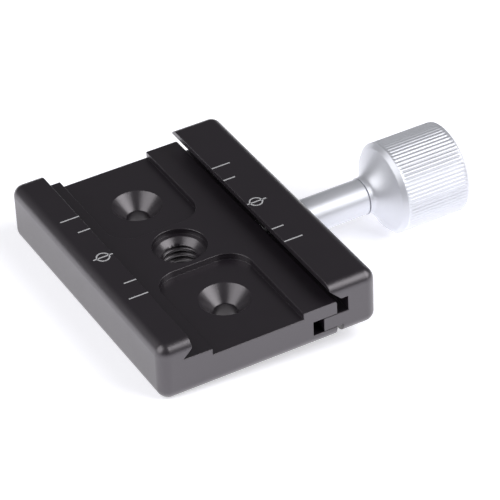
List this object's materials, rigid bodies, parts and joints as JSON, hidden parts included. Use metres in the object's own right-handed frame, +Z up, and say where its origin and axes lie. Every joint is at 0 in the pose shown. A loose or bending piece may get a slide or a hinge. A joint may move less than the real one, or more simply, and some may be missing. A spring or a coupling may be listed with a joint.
{
  "type": "quick release clamp",
  "caption": "Screw-knob quick release clamp that grips a 38 mm dovetail camera plate between a fixed and a sliding jaw.",
  "frame": {"origin": "axis of the middle threaded hole, at the underside of the base", "axes": "+X across the dovetail towards the knob, +Y along the dovetail, +Z up out of the dovetail"},
  "size_m": [0.0971, 0.075, 0.0224],
  "materials": {
    "black_anodised": "satin black anodised aluminium",
    "silver_anodised": "satin silver anodised aluminium",
    "steel": "turned stainless steel",
    "slip_plastic": "natural nylon"
  },
  "bodies": {
    "base": {"base": "black_anodised", "guide_pin_front": "steel", "guide_pin_rear": "steel", "return_spring_front": "steel", "return_spring_rear": "steel"},
    "jaw": {"moving_jaw": "black_anodised", "slip_washer": "slip_plastic"},
    "knob": {"knob": "silver_anodised", "knob_sleeve": "silver_anodised", "clamp_screw": "steel", "thrust_washer": "steel", "retaining_ring": "steel", "knob_set_screw": "steel"}
  },
  "joints": [
    {"name": "jaw_slide", "type": "slide", "parent": "base", "child": "jaw", "axis": [1, 0, 0], "range_m": [-0.0015, 0.002], "deforming": ["return_spring_front", "return_spring_rear"]},
    {"name": "knob_turn", "type": "hinge", "parent": "jaw", "child": "knob", "pos_m": [0.06, 0, 0.0052], "axis": [1, 0, 0], "range_deg": [-676, 901]}
  ],
  "couplings": [
    {"joint": "knob_turn", "follows": "jaw_slide", "rad_per_m": 7854}
  ]
}
